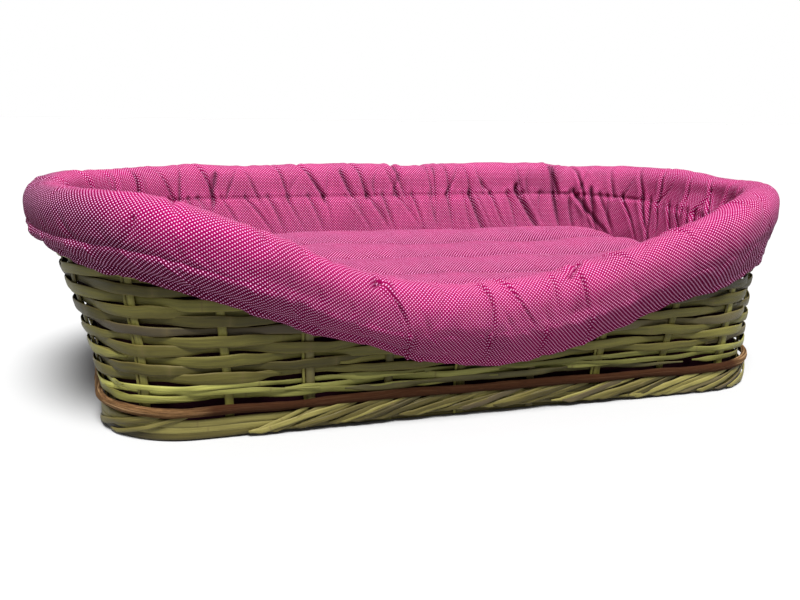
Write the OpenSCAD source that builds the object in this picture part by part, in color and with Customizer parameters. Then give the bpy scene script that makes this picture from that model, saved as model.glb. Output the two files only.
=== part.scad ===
// Wicker pet bed basket: a woven split-bamboo tub with flared ends and a dipped
// front, a padded slip-over liner and a loose mattress cushion.
// Millimetres, +Z up, front at -Y, origin on the floor under the middle of the base.

/* [Basket] */
// Length of the base, measured at the middle of the wall
base_l = 718; // [660:2:780]
// Width of the base, measured at the middle of the wall
base_w = 358; // [320:2:400]
// Corner radius of the base
base_r = 80; // [70:2:100]
// Length of the rim, measured at the middle of the wall
rim_l = 806; // [740:2:860]
// Width of the rim, measured at the middle of the wall
rim_w = 424; // [400:2:460]
// Corner radius of the rim, which makes it nearly oval
rim_r = 200; // [120:2:200]
// Height of the rim at the ends
rim_h = 210; // [190:2:230]
// Height of the rim at the back
back_h = 200; // [190:2:220]

/* [Front dip] */
// Height of the rim at the bottom of the dip
dip_h = 120; // [110:2:140]
// Sideways place of the middle of the dip
dip_shift = -12; // [-30:1:30]
// Half length of the flat bottom of the dip
dip_flat = 32; // [20:2:60]
// Length over which the rim climbs from the dip to full height on the left
dip_run_left = 290; // [250:10:330]
// The same climb on the right
dip_run_right = 340; // [250:10:350]

/* [Weave] */
// Number of upright stakes, which is even
stakes = 26; // [24:2:28]
// Place of the first stake along the front
stake_shift = -17; // [-20:1:20]
// Width of a stake
stake_w = 8.5; // [7:0.5:9]
// Thickness of a stake
stake_t = 2.4; // [2:0.1:2.8]
// Height of one weaver
weaver_w = 8.8; // [8:0.1:8.9]
// Thickness of a weaver
weaver_t = 1.7; // [1.4:0.1:1.8]
// Height step from one weaver row to the next
row_step = 9.3; // [9.3:0.1:9.6]
// Number of weaver rows, counted at the back
rows = 14; // [13:1:14]

/* [Liner and cushion] */
// Thickness of the padding
pad_t = 14.5; // [12:0.5:18]
// Thickness of the fabric
cloth_t = 1; // [0.8:0.1:1.2]
// Height of the top of the cushion
cushion_h = 126; // [100:2:126]

/* [Hidden] */
WEAVER_ROWS = [for (k = [1:rows]) str("weaver_row_", k < 10 ? "0" : "", k)];
WALING_ROWS = ["waling_row_1", "waling_row_2", "waling_row_3"];

bend_z = 34;                           // the wall is upright below this height

weave_gap = 0.4;                       // air between a stake and a weaver
weave_out = stake_t / 2 + weave_gap + weaver_t / 2;   // weaver middle to wall middle
wrap = 6;                              // half length of a weaver lying flat on a stake
waling_w = 5;
waling_step = 5.6;
waling_z = 39.5;
first_row_z = 58.5;
rim_band = 12;                         // height of the rim hoops
rim_t = 3;                             // thickness of a rim hoop
rim_out = stake_t / 2 + weave_gap + rim_t / 2;        // rim hoop middle to wall middle
foot_h = 24;
foot_t = 4.5;
hoop_r = 4.5;
hoop_z = 29;
hoop_out = stake_t / 2 + weave_gap + hoop_r;
floor_z = 12;                          // underside of the base splints
splint_t = 1.8;
channel = 7.5;                         // wall middle to the liner, each way
roll_top = 20;                         // top of the liner above the rim
skirt_drop = 26;                       // foot of the padded skirt below the rim
hem_drop_dip = 58;                     // foot of the hem below the rim, at the dip
hem_drop_ends = 52;                    // and away from it
liner_z = floor_z + 2 * splint_t + 1;  // underside of the liner

BAMBOO = [0.56, 0.55, 0.30];
BAMBOO_PALE = [0.70, 0.68, 0.40];
CANE = [0.45, 0.27, 0.15];
PINK = [0.80, 0.16, 0.44];
PINK_DEEP = [0.66, 0.08, 0.32];
WADDING = [0.95, 0.94, 0.91];

// ---- the wall's surface ----------------------------------------------------
// At every height the middle of the wall is a rectangle with round corners, which
// grows and gets rounder on the way up. A station t runs along it, from 0 at the
// middle of the front to 1 at the middle of the back, and is minus on the left.

function mix(a, b, t) = a + (b - a) * t;
function grow(z) = max(0, z - bend_z) / (rim_h - bend_z);
function radius(z) = mix(base_r, rim_r, grow(z));
function core_x(z) = mix(base_l, rim_l, grow(z)) / 2 - radius(z);
function core_y(z) = mix(base_w, rim_w, grow(z)) / 2 - radius(z);
function half_way(z) = 2 * core_x(z) + 2 * core_y(z) + PI * radius(z);

// The corner radius is swung round a core rectangle. This gives the point of the
// core that a length s belongs to, and the angle turned from the front.
function swing(s, cx, cy, arc) =
    s < cx ? [s, -cy, 0]
    : s < cx + arc ? [cx, -cy, (s - cx) / arc * 90]
    : s < cx + arc + 2 * cy ? [cx, s - cx - arc - cy, 90]
    : s < cx + 2 * arc + 2 * cy ? [cx, cy, 90 + (s - cx - arc - 2 * cy) / arc * 90]
    : [2 * cx + 2 * cy + 2 * arc - s, cy, 180];

function wrapped(t) = t > 1 ? t - 2 : t < -1 ? t + 2 : t;

// A point at height z, a distance out from where the wall is at height z_ref
function beside(t, out, z_ref, z) =
    let (w = wrapped(t), side = w < 0 ? -1 : 1,
         p = swing(abs(w) * half_way(z_ref), core_x(z_ref), core_y(z_ref),
                   PI / 2 * radius(z_ref)),
         r = radius(z_ref) + out)
    [side * (p[0] + r * sin(p[2])), p[1] - r * cos(p[2]), z];
function on_wall(t, out, z) = beside(t, out, z, z);

function ease(t) = let (c = min(1, max(0, t))) c * c * (3 - 2 * c);

// Height of the rim, which dips at the front and is a little lower at the back
function dip(t) =
    let (s = wrapped(t) * half_way(0) - dip_shift, run = s < 0 ? dip_run_left : dip_run_right)
    1 - ease((abs(s) - dip_flat) / run);
function rim_z(t) =
    rim_h - (rim_h - dip_h) * dip(t)
    - (rim_h - back_h) * ease((abs(wrapped(t)) - 0.42) / 0.3);

function steps(from, to, n) = [for (i = [0:n - 1]) from + (to - from) * i / n];

// Stations all round the basket: along the front, round a corner, up an end, round
// the next corner and along the back, on the right side and then on the left. The
// corner runs from one station to another.
function all_round(front, corner, end, back, from, to) =
    let (right = concat(
        steps(0, from, front),
        steps(from, to, corner),
        steps(to, 1 - to, end),
        steps(1 - to, 1 - from, corner),
        steps(1 - from, 1, back)))
    concat(right, [1], [for (i = [len(right) - 1:-1:1]) -right[i]]);

function corner_from(z) = core_x(z) / half_way(z);
function corner_to(z) = (core_x(z) + PI / 2 * radius(z)) / half_way(z);
stations = all_round(6, 11, 1, 4, corner_from(rim_h), corner_to(rim_h));
cushion_stations = all_round(3, 4, 1, 3, corner_from(0), corner_to(0));

// ---- shapes that repeat ----------------------------------------------------

// Each four-sided face is cut from one corner to the other. A cover is folded double,
// and its inner half runs backwards, so its faces are turned and cut the other way:
// that keeps both sides of the cover, and what fills it, alike where they twist.
function side_faces(rows, m, closed, turn_row, turn_side) =
    [for (j = [0:rows - (closed ? 1 : 2)], i = [0:m - 1])
        let (a = j * m, b = (j + 1) % rows * m, k = (i + 1) % m)
        each j >= turn_row || i >= turn_side
            ? [[a + i, b + i, a + k], [b + i, b + k, a + k]]
            : [[a + i, b + i, b + k], [a + i, b + k, a + k]]];

// Joins rings of points into one closed loop
module loop_of(rings, turn_side = 1e6) {
    polyhedron(
        points = [for (r = rings) each r],
        faces = side_faces(len(rings), len(rings[0]), true, 1e6, turn_side));
}

// Joins four-sided sections into one bar with closed ends
module bar_of(rings) {
    last = 4 * len(rings) - 1;
    polyhedron(
        points = [for (r = rings) each r],
        faces = concat(side_faces(len(rings), 4, false, 1e6, 1e6),
                       [[0, 1, 2, 3], [last, last - 1, last - 2, last - 3]]));
}

// Joins rings that run all round the basket, and closes the first and the last of
// them with strips from front to back
module stack_of(rings, turn_row = 1e6) {
    n = len(rings);
    m = len(rings[0]);
    half = m / 2;
    strips = [for (i = [-(half - 1) / 2:(half - 1) / 2 - 1])
        [(i + m) % m, (i + 1 + m) % m, (half - i - 1) % m, (half - i) % m]];
    polyhedron(
        points = [for (r = rings) each r],
        faces = concat(
            side_faces(n, m, false, turn_row, 1e6),
            [for (q = strips) each [[q[0], q[1], q[2]], [q[0], q[2], q[3]]]],
            [for (q = strips) let (e = (n - 1) * m)
                each [[e + q[2], e + q[1], e + q[0]], [e + q[3], e + q[2], e + q[0]]]]));
}

// A level ring round the foot with a constant section. The section's x is the
// distance out from the middle of the wall, and its y is the height.
foot_x = core_x(0);
foot_y = core_y(0);
module level_ring() {
    for (mx = [0, 1], my = [0, 1])
        mirror([mx, 0, 0]) mirror([0, my, 0])
            translate([foot_x, foot_y, 0])
                rotate_extrude(angle = 90, $fn = 96) translate([base_r, 0]) children();
    for (my = [0, 1])
        mirror([0, my, 0]) translate([-foot_x, foot_y + base_r, 0])
            rotate([90, 0, 90]) linear_extrude(2 * foot_x) children();
    for (mx = [0, 1])
        mirror([mx, 0, 0]) translate([foot_x + base_r, foot_y, 0])
            rotate([90, 0, 0]) linear_extrude(2 * foot_y) children();
}

// The outline of the base, moved outwards by an offset
module outline(offset) {
    square([2 * foot_x, 2 * (foot_y + base_r + offset)], center = true);
    square([2 * (foot_x + base_r + offset), 2 * foot_y], center = true);
    for (x = [-foot_x, foot_x], y = [-foot_y, foot_y])
        translate([x, y]) circle(r = base_r + offset, $fn = 96);
}

// Section of a flat strip that lies along the wall
function strip(t, out, z, height, thick) =
    [for (c = [[-1, -1], [1, -1], [1, 1], [-1, 1]])
        on_wall(t, out + c[0] * thick / 2, z + c[1] * height / 2)];

function stake_at(i) = stake_shift / half_way(0) + i * 2 / stakes;

// ---- the woven wall --------------------------------------------------------

// A weaver's sections: flat on each stake, outside it or inside it
function weave_rings(ids, z, height, outside) =
    [for (i = ids, e = [-wrap, wrap])
        strip(stake_at(i) + e / half_way(z),
              outside[i % stakes] ? weave_out : -weave_out, z, height, weaver_t)];

module weaver_row(k) {
    z = first_row_z + (k - 1) * row_step;
    top = z + weaver_w / 2 + rim_band + 2;
    over = [for (i = [0:stakes - 1]) (i + k) % 2 == 0];
    reach = 1.5 * wrap / half_way(z);
    held = [for (i = [1:stakes - 1])
        if (min(rim_z(stake_at(i) - reach), rim_z(stake_at(i) + reach)) > top) i];
    color(k % 3 == 0 ? BAMBOO_PALE : BAMBOO)
        if (top < dip_h) loop_of(weave_rings([0:stakes - 1], z, weaver_w, over));
        else bar_of(weave_rings(held, z, weaver_w, over));
}

// Thin rows just above the foot, which go over two stakes and behind one
module waling_row(k) {
    z = waling_z + (k - 1) * waling_step;
    over = [for (i = [0:stakes - 1]) (i + k) % 3 != 0];
    color(BAMBOO_PALE)
        loop_of([for (i = [0:stakes - 1])
            let (here = over[i] ? weave_out : -weave_out,
                 next = over[(i + 1) % stakes] ? weave_out : -weave_out)
            each [
                strip(stake_at(i) - wrap / half_way(z), here, z, waling_w, weaver_t),
                strip(stake_at(i) + wrap / half_way(z), here, z, waling_w, weaver_t),
                strip(stake_at(i + 0.5), (here + next) / 2, z, waling_w, weaver_t)]]);
}

// An upright from the foot to the rim, with its middle a length along from t
module upright(t, along, width, thick) {
    top = rim_z(t) - 1.5;
    bar_of([for (z = concat([2], steps(bend_z, top, 5), [top]))
        [for (c = [[-1, -1], [1, -1], [1, 1], [-1, 1]])
            on_wall(t + (along + c[1] * width / 2) / half_way(z), c[0] * thick / 2, z)]]);
}

module stakes_main() {
    color(BAMBOO)
        for (i = [0:stakes - 1]) upright(stake_at(i), 0, stake_w, stake_t);
}

// Thin splints that stand beside every second stake
module stakes_side() {
    width = 2.6;
    color(BAMBOO_PALE)
        for (i = [0:2:stakes - 1])
            upright(stake_at(i), -(stake_w + width) / 2 - 0.4, width, stake_t - 0.6);
}

// ---- the foot and the base -------------------------------------------------

module band(from, to, low, high) {
    level_ring() translate([from, low]) square([to - from, high - low]);
}

beside_stakes = stake_t / 2 + weave_gap;

module foot_border_outer() {
    color(BAMBOO) band(beside_stakes, beside_stakes + foot_t, 0, foot_h);
}

module foot_border_inner() {
    color(BAMBOO) band(-beside_stakes - foot_t, -beside_stakes, 0, floor_z - 4.6);
}

module foot_hoop() {
    color(CANE) level_ring() translate([hoop_out, hoop_z]) circle(r = hoop_r, $fn = 48);
}

// The hoop that carries the ends of the base splints
module base_frame_hoop() {
    color(CANE) band(-beside_stakes - foot_t, -beside_stakes, floor_z - 4.2, floor_z - 0.2);
}

module clipped_to_base(z) {
    intersection() {
        translate([0, 0, z]) linear_extrude(splint_t) outline(-beside_stakes - 0.6);
        children();
    }
}

module base_cross_splints() {
    count = 17;
    width = 26;
    step = (base_l - 2 * width) / (count - 1);
    color(BAMBOO)
        for (i = [0:count - 1])
            clipped_to_base(floor_z)
                translate([-base_l / 2 + width / 2 + i * step, -base_w, 0])
                    cube([width, 2 * base_w, 2 * floor_z]);
}

module base_long_splints() {
    count = 9;
    width = 24;
    step = (base_w - 2 * width) / (count - 1);
    color(BAMBOO_PALE)
        for (i = [0:count - 1])
            clipped_to_base(floor_z + splint_t + 0.2)
                translate([-base_l, -base_w / 2 + width / 2 + i * step, 0])
                    cube([2 * base_l, width, 2 * floor_z]);
}

// ---- the rim ---------------------------------------------------------------

// A hoop has a bend at each stake and at each lashing between two stakes
module rim_hoop(out) {
    places = [for (i = [0:0.5:stakes - 0.5]) stake_at(i)];
    color(BAMBOO_PALE)
        loop_of([for (t = places) strip(t, out, rim_z(t) - rim_band / 2, rim_band, rim_t)]);
}

// A wrap that binds the two rim hoops together at a station
module lashing(t) {
    half = 2.5 / half_way(rim_h);
    wall = 1.1;
    out = rim_out + rim_t / 2 + 0.4;
    loop_of([for (c = [[-1, -1], [1, -1], [1, 1], [-1, 1]])
        [for (e = [[-half, wall], [half, wall], [half, 0], [-half, 0]])
            on_wall(t + e[0], c[0] * (out + e[1]),
                    rim_z(t + e[0]) + (c[1] > 0 ? 1 + e[1] : -rim_band - 1 - e[1]))]]);
}

module rim_lashing() {
    color(CANE) for (i = [0:stakes - 1]) lashing(stake_at(i + 0.5));
}

// ---- the liner -------------------------------------------------------------
// One padded panel runs up the inside, over the rim and down outside. A section is
// a list of [distance out from the wall, height at which the wall is taken, height].

function placed(t, section) = [for (p = section) beside(t, p[0], p[1], p[2])];

// inset draws the section in, which gives the room for the wadding in the cover
function liner_section(t, inset, low) =
    let (z = rim_z(t), a = channel, b = channel + pad_t, e = inset)
    [[-b + e, low, low],
     [-b + e, mix(low, z, 0.5), mix(low, z, 0.5)],
     [-b + e, z - 20, z - 20],
     [-b - 1 + e, z, z],
     [-b + 3 + e * 0.8, z, z + roll_top - 8 - e * 0.6],
     [-b + 12 + e * 0.5, z, z + roll_top - 1.5 - e * 0.9],
     [b - 12 - e * 0.5, z, z + roll_top - 1.5 - e * 0.9],
     [b - 3 - e * 0.8, z, z + roll_top - 8 - e * 0.6],
     [b + 1 - e, z, z],
     [b - e, z, z - skirt_drop + e],
     [a + 0.6 + e, z, z - skirt_drop + e],
     [a + e, z, z + 2.5],
     [a - 2 + e, z, z + 6.5 + e],
     [-a + 2 - e, z, z + 6.5 + e],
     [-a - e, z, z + 2.5],
     [-a - e, mix(low, z, 0.5), mix(low, z, 0.5)],
     [-a - e, low, low]];

// The cover's section is its outer side and, walked back, its inner side
function cover_section(t) =
    let (low = liner_z + cloth_t, skin = liner_section(t, 0, low),
         lining = liner_section(t, cloth_t, low))
    concat(skin, [for (i = [len(lining) - 1:-1:0]) lining[i]]);

module liner_cover() {
    sides = len(liner_section(0, 0, 0));
    color(PINK) loop_of([for (t = stations) placed(t, cover_section(t))], turn_side = sides);
}

module liner_wadding() {
    low = liner_z + cloth_t + 0.8;
    color(WADDING)
        loop_of([for (t = stations) placed(t, liner_section(t, cloth_t + 0.8, low))]);
}

// The fabric floor that the padded wall is sewn to
module liner_base_panel() {
    color(PINK_DEEP)
        translate([0, 0, liner_z]) linear_extrude(cloth_t - 0.1) outline(-channel - 0.5);
}

// The hem below the skirt, folded round the elastic and gathered by it. The fold
// closes on the wicker side, where a narrow slit is left above the elastic.
elastic_r = 2;
hem_t = 1.2;
hem_face = 5.4;                        // wicker side of the hem, out from the wall
function hem_z(t) = rim_z(t) - mix(hem_drop_ends, hem_drop_dip, dip(t));
function hem_section(t) =
    let (z = rim_z(t), low = hem_z(t), top = z - skirt_drop - 0.4, f = hem_face,
         far = f + 2 * elastic_r + 1 + 2 * hem_t, out = channel + pad_t)
    [[f, low, low],
     [far, low, low],
     [far + 1.5, low, low + 8],
     [out - 1, z, top - 6],
     [out, z, top],
     [out - hem_t, z, top],
     [out - 2 - hem_t, z, top - 5],
     [far + 1 - hem_t, low, low + 9],
     [f, low + 9, low + 9],
     [f, low + 9, low + 9 - hem_t],
     [far + 0.5 - hem_t, low, low + 9 - hem_t],
     [far - hem_t, low, low + hem_t],
     [f + hem_t, low, low + hem_t],
     [f + hem_t, low, low + 6.8],
     [f, low, low + 6.8]];

module liner_hem_casing() {
    color(PINK_DEEP) loop_of([for (t = stations) placed(t, hem_section(t))]);
}

function elastic_section(t) =
    let (low = hem_z(t), c = hem_face + hem_t + 0.4 + elastic_r)
    [for (a = [0:60:300])
        [c + elastic_r * cos(a), low, low + hem_t + 0.4 + elastic_r + elastic_r * sin(a)]];

module liner_elastic() {
    color("white") loop_of([for (t = stations) placed(t, elastic_section(t))]);
}

// ---- the cushion -----------------------------------------------------------

cushion_z = liner_z + cloth_t + 1;
cushion_side = channel + pad_t + 2;    // wall middle to the cushion
cushion_low = cushion_z + cloth_t + 0.2;
cushion_levels = [0, 0.1, 0.5, 0.8, 0.93, 0.985, 1];
cushion_pull = [10, 3, 0, 4, 12, 26, 50];  // how far each level draws in

// A level of the crowned block, drawn in by an inset
function cushion_ring(j, inset) =
    let (z = mix(cushion_low, cushion_h - inset, cushion_levels[j]))
    [for (t = cushion_stations) on_wall(t, -cushion_side - cushion_pull[j] - inset, z)];

up = [0:len(cushion_levels) - 1];
down = [len(cushion_levels) - 1:-1:0];

module cushion_top_panel() {
    color(PINK)
        stack_of(concat([for (j = down) cushion_ring(j, 0)],
                        [for (j = up) cushion_ring(j, cloth_t)]),
                 turn_row = len(cushion_levels));
}

module cushion_filling() {
    color(WADDING) stack_of([for (j = down) cushion_ring(j, cloth_t + 0.6)]);
}

module cushion_bottom_panel() {
    color(PINK_DEEP)
        translate([0, 0, cushion_z])
            linear_extrude(cloth_t) outline(-cushion_side - cushion_pull[0]);
}

// ---- what is drawn ---------------------------------------------------------

foot_border_outer();
foot_border_inner();
foot_hoop();
base_frame_hoop();
base_cross_splints();
base_long_splints();
stakes_main();
stakes_side();
for (k = [1:len(WALING_ROWS)])
    waling_row(k);
for (k = [1:rows])
    weaver_row(k);
rim_hoop(rim_out);  // rim_outer_hoop
rim_hoop(-rim_out);  // rim_inner_hoop
rim_lashing();
liner_cover();
liner_wadding();
liner_base_panel();
liner_hem_casing();
liner_elastic();
cushion_top_panel();
cushion_bottom_panel();
cushion_filling();
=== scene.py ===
# Looks for the wicker pet bed basket: bamboo weave, cane hoop, cotton liner, cushion.
# Metres, +Z up, front at -Y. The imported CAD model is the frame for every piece.
import math

import bpy
import numpy as np
from mathutils import Matrix, Vector


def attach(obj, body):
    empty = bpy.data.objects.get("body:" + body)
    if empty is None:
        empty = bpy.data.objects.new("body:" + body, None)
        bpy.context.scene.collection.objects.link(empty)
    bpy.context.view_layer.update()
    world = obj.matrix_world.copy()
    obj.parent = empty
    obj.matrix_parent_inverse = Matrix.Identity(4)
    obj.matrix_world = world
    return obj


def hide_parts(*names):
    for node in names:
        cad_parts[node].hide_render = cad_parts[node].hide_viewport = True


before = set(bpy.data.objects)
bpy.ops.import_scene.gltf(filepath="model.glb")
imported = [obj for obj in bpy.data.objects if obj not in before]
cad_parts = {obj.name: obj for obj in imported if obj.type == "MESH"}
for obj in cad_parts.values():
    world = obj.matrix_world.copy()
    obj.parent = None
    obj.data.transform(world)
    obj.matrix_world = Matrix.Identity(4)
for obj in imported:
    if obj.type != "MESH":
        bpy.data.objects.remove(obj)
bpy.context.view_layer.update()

# ---- the basket's sizes, as in the CAD ----

BASE_L, BASE_W, BASE_R = 0.718, 0.358, 0.080
RIM_L, RIM_W, RIM_R = 0.806, 0.424, 0.200
RIM_H, BACK_H, DIP_H = 0.210, 0.200, 0.120
BEND_Z = 0.034
DIP_SHIFT, DIP_FLAT = -0.012, 0.032
DIP_RUN_LEFT, DIP_RUN_RIGHT = 0.290, 0.340
STAKES = 26
STAKE_SHIFT = -0.017
STAKE_W, STAKE_T = 0.0085, 0.0024
FIRST_ROW_Z, ROW_STEP, ROWS = 0.0585, 0.0093, 14
WALING_Z, WALING_STEP = 0.0395, 0.0056
RIM_BAND = 0.012
HOOP_Z, HOOP_R = 0.029, 0.0045
LINER_LOW = 0.0176
HEM_DROP_ENDS, HEM_DROP_DIP = 0.052, 0.058
CUSHION_LOW = 0.0198
LEFT_LEAN = 0.007     # the wall leans out further at its left end


def mix(a, b, t):
    return a + (b - a) * t


def ease(t):
    c = np.clip(t, 0, 1)
    return c * c * (3 - 2 * c)


def outline(z):
    """Half size of the core rectangle, and the corner radius, of the wall at a height."""
    g = np.maximum(0, z - BEND_Z) / (RIM_H - BEND_Z)
    r = mix(BASE_R, RIM_R, g)
    return mix(BASE_L, RIM_L, g) / 2 - r, mix(BASE_W, RIM_W, g) / 2 - r, r


def half_way(z):
    cx, cy, r = outline(z)
    return 2 * cx + 2 * cy + np.pi * r


def wrapped(t):
    return (np.asarray(t) + 1) % 2 - 1


def beside(t, out, z_ref, z):
    """Points at height z, a distance out from where the wall is at height z_ref."""
    t, out, z_ref, z = np.broadcast_arrays(t, out, z_ref, z)
    w = wrapped(t)
    cx, cy, r = outline(z_ref)
    arc = np.pi / 2 * r
    s = np.abs(w) * (2 * cx + 2 * cy + 2 * arc)
    turn = (np.clip((s - cx) / arc, 0, 1) + np.clip((s - cx - arc - 2 * cy) / arc, 0, 1))
    turn = turn * np.pi / 2
    px = np.clip(s, 0, cx) - np.clip(s - cx - 2 * arc - 2 * cy, 0, cx)
    py = -cy + np.clip(s - cx - arc, 0, 2 * cy)
    side = np.where(w < 0, -1.0, 1.0)
    x = side * (px + (r + out) * np.sin(turn))
    x = x - LEFT_LEAN * ease((z_ref - 0.07) / 0.08) * ease((-x - 0.20) / 0.18)
    return np.stack([x, py - (r + out) * np.cos(turn), z], -1)


def on_wall(t, out, z):
    return beside(t, out, z, z)


def dip(t):
    s = wrapped(t) * half_way(0) - DIP_SHIFT
    run = np.where(s < 0, DIP_RUN_LEFT, DIP_RUN_RIGHT)
    return 1 - ease((np.abs(s) - DIP_FLAT) / run)


def rim_z(t):
    back = ease((np.abs(wrapped(t)) - 0.42) / 0.3)
    return RIM_H - (RIM_H - DIP_H) * dip(t) - (RIM_H - BACK_H) * back


# how far the hem was pulled up (+) or down (-) along the front: (station, metres)
HEM_PULLS = [(-0.68, 0.0), (-0.57, 0.022), (-0.50, 0.024), (-0.44, 0.014), (-0.38, 0.007),
             (-0.33, -0.002), (-0.18, -0.004), (-0.12, 0.008), (-0.06, 0.001), (0.00, -0.009),
             (0.08, -0.006), (0.20, -0.007), (0.26, -0.015), (0.34, -0.013), (0.44, 0.0)]


def hem_z(t):
    places, pulls = zip(*HEM_PULLS)
    pull = np.interp(wrapped(t), places, pulls, left=0, right=0)
    return rim_z(t) - mix(HEM_DROP_ENDS, HEM_DROP_DIP, dip(t)) + pull


def stake_at(i):
    return STAKE_SHIFT / half_way(0) + i * 2 / STAKES


def unit(v):
    return v / np.maximum(np.linalg.norm(v, axis=-1, keepdims=True), 1e-12)


def wander(x, scale, size, seed):
    """A smooth random line: waves of a few lengths with seeded phases."""
    r = np.random.default_rng(seed)
    total = np.zeros_like(np.asarray(x, float))
    for k in range(1, 6):
        total += np.sin(x / scale * k * 1.7 + r.uniform(0, 2 * np.pi)) / k ** 0.8
    return total * size / 1.8


# ---- materials ----


def plain_material(name, base, roughness, specular=0.5):
    m = bpy.data.materials.new(name)
    m.use_nodes = True
    shader = m.node_tree.nodes["Principled BSDF"]
    shader.inputs["Base Color"].default_value = (*base, 1)
    shader.inputs["Roughness"].default_value = roughness
    shader.inputs["Specular IOR Level"].default_value = specular
    return m


class Graph:
    """Short names for the shader nodes that the materials below use."""

    def __init__(self, tree):
        self.tree = tree

    def set(self, socket, value):
        """Links a value to one of the material's own sockets."""
        self.tree.links.new(value, self.tree.nodes["Principled BSDF"].inputs[socket])

    def node(self, kind, inputs=None, **settings):
        n = self.tree.nodes.new(kind)
        for key, value in settings.items():
            setattr(n, key, value)
        for key, value in (inputs or {}).items():
            if isinstance(value, bpy.types.NodeSocket):
                self.tree.links.new(value, n.inputs[key])
            else:
                n.inputs[key].default_value = value
        return n

    def math(self, operation, a, b=0.0):
        return self.node("ShaderNodeMath", {0: a, 1: b}, operation=operation).outputs[0]

    def times(self, a, b):
        return self.math("MULTIPLY", a, b)

    def plus(self, a, b):
        return self.math("ADD", a, b)

    def vector(self, operation, a, b=(0, 0, 0)):
        n = self.node("ShaderNodeVectorMath", {0: a, 1: b}, operation=operation)
        return n.outputs["Value" if operation == "LENGTH" else "Vector"]

    def joined(self, x, y=0.0, z=0.0):
        return self.node("ShaderNodeCombineXYZ", {0: x, 1: y, 2: z}).outputs[0]

    def parts(self, vector):
        return self.node("ShaderNodeSeparateXYZ", {0: vector}).outputs

    def attribute(self, name, output="Fac"):
        return self.node("ShaderNodeAttribute", attribute_name=name).outputs[output]

    def noise(self, vector, scale, detail=3.0, roughness=0.5):
        values = {"Vector": vector, "Scale": scale, "Detail": detail, "Roughness": roughness}
        return self.node("ShaderNodeTexNoise", values).outputs["Fac"]

    def ramp(self, value, stops):
        n = self.node("ShaderNodeValToRGB", {"Fac": value})
        while len(n.color_ramp.elements) < len(stops):
            n.color_ramp.elements.new(0.5)
        for element, (place, colour) in zip(n.color_ramp.elements, stops):
            element.position = place
            element.color = (*colour, 1)
        return n.outputs["Color"]

    def blend(self, factor, a, b, blend_type="MIX"):
        n = self.node("ShaderNodeMix", data_type="RGBA", blend_type=blend_type)
        for key, value in (("Factor", factor), ("A", a), ("B", b)):
            socket = next(s for s in n.inputs if s.name == key and s.enabled)
            if isinstance(value, bpy.types.NodeSocket):
                self.tree.links.new(value, socket)
            else:
                socket.default_value = value if key == "Factor" else (*value, 1)
        return next(s for s in n.outputs if s.enabled)

    def shaded(self, colour, grey):
        """The colour, multiplied by a grey value."""
        value = self.node("ShaderNodeCombineColor", {0: grey, 1: grey, 2: grey}).outputs[0]
        return self.blend(1.0, colour, value, "MULTIPLY")

    def range(self, value, low, high, to_low=0.0, to_high=1.0, kind="SMOOTHSTEP"):
        values = {"Value": value, "From Min": low, "From Max": high,
                  "To Min": to_low, "To Max": to_high}
        return self.node("ShaderNodeMapRange", values, interpolation_type=kind).outputs["Result"]

    def bump(self, height, strength, distance):
        values = {"Height": height, "Strength": strength, "Distance": distance}
        return self.node("ShaderNodeBump", values).outputs["Normal"]


def bamboo_material(name, dark, mid, pale):
    """Split bamboo: grain along each splint, nodes across it, browner and duller edges."""
    m = plain_material(name, mid, 0.5, 0.22)
    g = Graph(m.node_tree)
    along, across, tone = g.parts(g.attribute("grain", "Vector"))
    # long streaks: fine across the splint, stretched along it, different on each splint
    streaky = g.joined(g.times(along, 7.0), g.times(across, 9.0), g.times(tone, 97.0))
    fibre = g.noise(streaky, 3.0, 6.0, 0.65)
    blotchy = g.joined(g.times(along, 9.0), g.times(across, 0.7), g.times(tone, 31.0))
    blotch = g.noise(blotchy, 2.2, 4.0, 0.6)
    shade = g.plus(g.times(tone, 0.55), g.times(blotch, 0.5))
    colour = g.ramp(shade, [(0.18, dark), (0.48, mid), (0.82, pale), (1.0, (0.27, 0.25, 0.08))])
    colour = g.shaded(colour, g.range(fibre, 0.36, 0.66, 0.62, 1.16, "LINEAR"))
    # a few splints have the grey-mauve of old sheath
    old = g.range(g.math("FRACT", g.times(tone, 13.7)), 0.90, 0.93)
    colour = g.blend(g.times(old, 0.6), colour, (0.050, 0.036, 0.024))
    # nodes: a pale ring and a dark line every 90 to 160 mm
    cell = g.plus(g.times(along, 6.5), g.times(tone, 53.0))
    near = g.math("ABSOLUTE", g.math("SUBTRACT", g.math("FRACT", cell), 0.5))
    ring = g.range(near, 0.002, 0.010, 1.0, 0.0)
    halo = g.range(near, 0.005, 0.045, 1.0, 0.0)
    colour = g.blend(g.times(halo, 0.07), colour, (0.22, 0.18, 0.06))
    colour = g.blend(g.times(ring, 0.35), colour, (0.08, 0.055, 0.02))
    # cut edges show the browner inner wood
    edge = g.range(g.math("ABSOLUTE", across), 0.72, 1.0)
    colour = g.blend(g.times(edge, 0.5), colour, (0.13, 0.10, 0.030))
    # some lengths carry a darkening value and are painted darker: painted shade under the foot's
    # front corners, and a darker stretch along the front of the thin rows
    colour = g.blend(g.times(g.attribute("wear"), 0.75), colour, tuple(c * 0.5 for c in dark))
    g.set("Base Color", colour)
    g.set("Roughness", g.range(blotch, 0.3, 0.7, 0.38, 0.62, "LINEAR"))
    height = g.plus(g.times(fibre, 0.55), g.times(halo, 0.5))
    g.set("Normal", g.bump(height, 0.55, 0.0009))
    return m


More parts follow.
